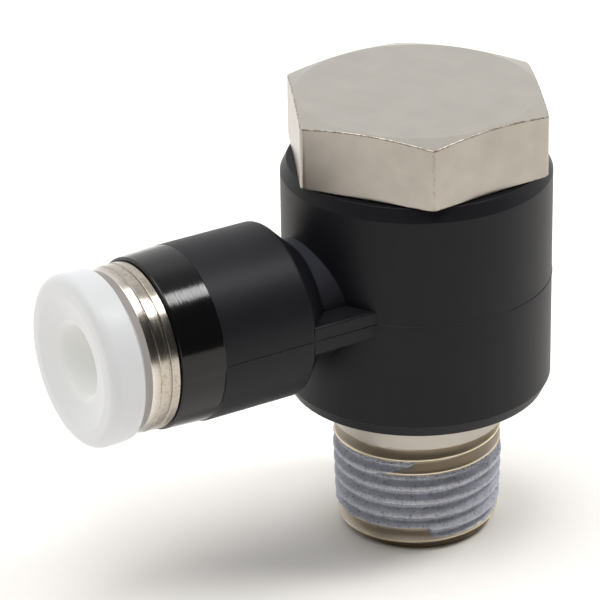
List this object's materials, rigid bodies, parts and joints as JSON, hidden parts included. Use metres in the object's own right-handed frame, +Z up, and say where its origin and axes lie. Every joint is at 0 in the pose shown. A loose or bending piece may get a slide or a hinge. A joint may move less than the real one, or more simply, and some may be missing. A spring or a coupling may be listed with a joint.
{
  "type": "push-in elbow fitting",
  "caption": "Swivel elbow fitting: hollow stud with hexagon head and taper thread, moulded body with a side arm, and a push-in tube socket with release button.",
  "frame": {"origin": "on the stud's axis, at its threaded end", "axes": "+Z up the stud's axis towards the hexagon head, -X along the side arm towards the tube socket, +Y across the hexagon"},
  "size_m": [0.0306, 0.0156, 0.0273],
  "materials": {
    "nickel": "satin nickel plate on brass",
    "sealant": "matte grey thread sealant",
    "black_moulding": "matte black moulded plastic",
    "seal_rubber": "black nitrile rubber",
    "stainless": "stainless spring steel",
    "acetal": "smooth white acetal"
  },
  "bodies": {
    "stud": {"banjo_stud": "nickel", "thread_sealant": "sealant", "lower_o_ring": "seal_rubber", "upper_o_ring": "seal_rubber", "snap_ring": "stainless"},
    "swivel": {"swivel_body": "black_moulding", "tube_seal": "seal_rubber", "chuck": "stainless", "guide": "nickel"},
    "release": {"collet": "acetal", "release_button": "acetal"}
  },
  "joints": [
    {"name": "body_swivel", "type": "hinge", "parent": "stud", "child": "swivel", "pos_m": [0, 0, 0.0162], "axis": [0, 0, 1], "continuous": true},
    {"name": "release_press", "type": "slide", "parent": "swivel", "child": "release", "axis": [1, 0, 0], "range_m": [0, 0.0005], "stiffness_N_per_m": 300}
  ]
}
